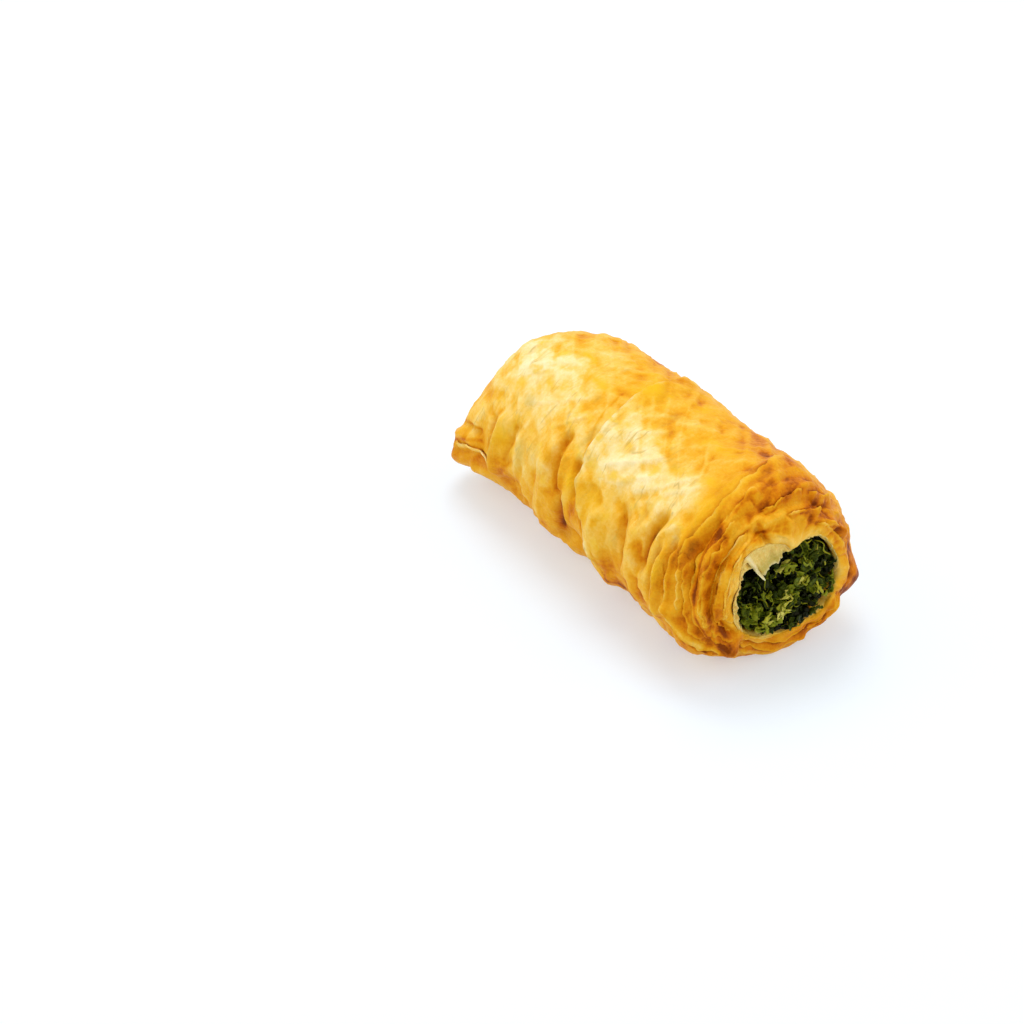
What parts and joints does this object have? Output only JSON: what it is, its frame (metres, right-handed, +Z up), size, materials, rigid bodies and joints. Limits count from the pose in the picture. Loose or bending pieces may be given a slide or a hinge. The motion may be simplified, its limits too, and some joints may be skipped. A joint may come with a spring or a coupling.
{
  "type": "baked pastry roll with spinach filling",
  "caption": "Baked borek roll: thin pastry sheets wound round chopped spinach, pleated along its side, with a browned hood round the open end and a tucked far end.",
  "frame": {"origin": "middle of the bounding box, at the height of the flat base that it lies on", "axes": "+X along the roll, towards its open end; -Y the pleated side; +Z up"},
  "size_m": [0.118, 0.0572, 0.0489],
  "materials": {
    "pastry": "baked thin dough, satin, cream to golden brown",
    "filling": "moist chopped spinach, dark green"
  },
  "bodies": {
    "root": {"pastry": "pastry", "filling": "filling"}
  },
  "joints": []
}
